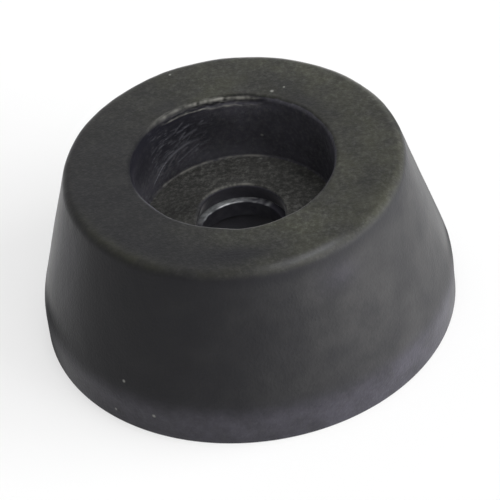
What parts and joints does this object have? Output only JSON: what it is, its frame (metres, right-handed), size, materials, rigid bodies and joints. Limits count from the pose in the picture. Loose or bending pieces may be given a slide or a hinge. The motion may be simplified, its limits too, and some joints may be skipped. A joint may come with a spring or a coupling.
{
  "type": "rubber foot",
  "caption": "Tapered black rubber equipment foot with a deep recess for a screw's head and a steel washer moulded in below it.",
  "frame": {"origin": "centre of the large face, the one that is screwed against the equipment", "axes": "+Z along the foot's axis, out of the head recess in the small end"},
  "size_m": [0.038, 0.038, 0.017],
  "materials": {
    "rubber": "matte moulded, dusty",
    "washer_steel": "dull zinc plate"
  },
  "bodies": {
    "root": {"rubber_body": "rubber", "steel_washer": "washer_steel"}
  },
  "joints": []
}
